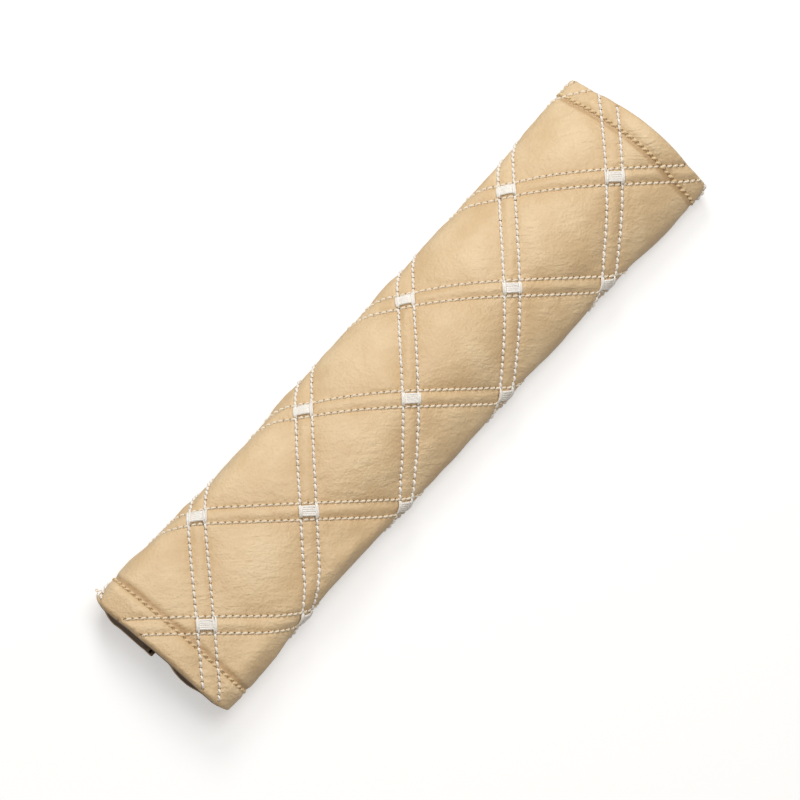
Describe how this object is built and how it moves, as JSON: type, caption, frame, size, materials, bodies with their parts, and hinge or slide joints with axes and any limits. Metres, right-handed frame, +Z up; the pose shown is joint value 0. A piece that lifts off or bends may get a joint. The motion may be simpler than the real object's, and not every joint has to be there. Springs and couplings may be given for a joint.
{
  "type": "seat belt shoulder pad",
  "caption": "Padded quilted leather sleeve that closes round a seat belt with an overlapping hook and loop flap and cushions the shoulder.",
  "frame": {"origin": "on the ground under the middle of the closed pad, which lies on its closure side", "axes": "+X along the pad towards the end that is uppermost in the picture, +Y across it towards the fold that carries the upper flap's closed edge, +Z up through the quilted crown"},
  "size_m": [0.2726, 0.0656, 0.0247],
  "materials": {
    "leather": "soft beige faux leather with a fine grain, satin",
    "foam": "soft foam wadding",
    "lining": "brown knitted lining cloth, matt",
    "hook_tape": "woven tape with stiff nylon hooks",
    "loop_tape": "woven tape with soft brushed loops",
    "hem_thread": "beige sewing thread",
    "thread": "thick off-white quilting thread with a slight shine"
  },
  "bodies": {
    "root": {"leather_cover": "leather", "foam_padding": "foam", "lining": "lining", "hook_tape": "hook_tape", "loop_tape": "loop_tape", "upper_hem_seam": "hem_thread", "lower_hem_seam": "hem_thread", "corner_row_1a": "thread", "corner_row_1b": "thread", "plain_row_1a": "thread", "knotted_rows_2": "thread", "plain_row_2a": "thread", "plain_row_2b": "thread", "knotted_rows_3": "thread", "plain_row_3a": "thread", "plain_row_3b": "thread", "knotted_rows_4": "thread", "plain_row_4a": "thread", "plain_row_4b": "thread", "knotted_rows_5": "thread", "plain_row_5a": "thread", "plain_row_5b": "thread", "knotted_rows_6": "thread", "plain_row_6a": "thread", "plain_row_6b": "thread", "knotted_rows_7": "thread", "plain_row_7a": "thread", "plain_row_7b": "thread"}
  },
  "joints": []
}
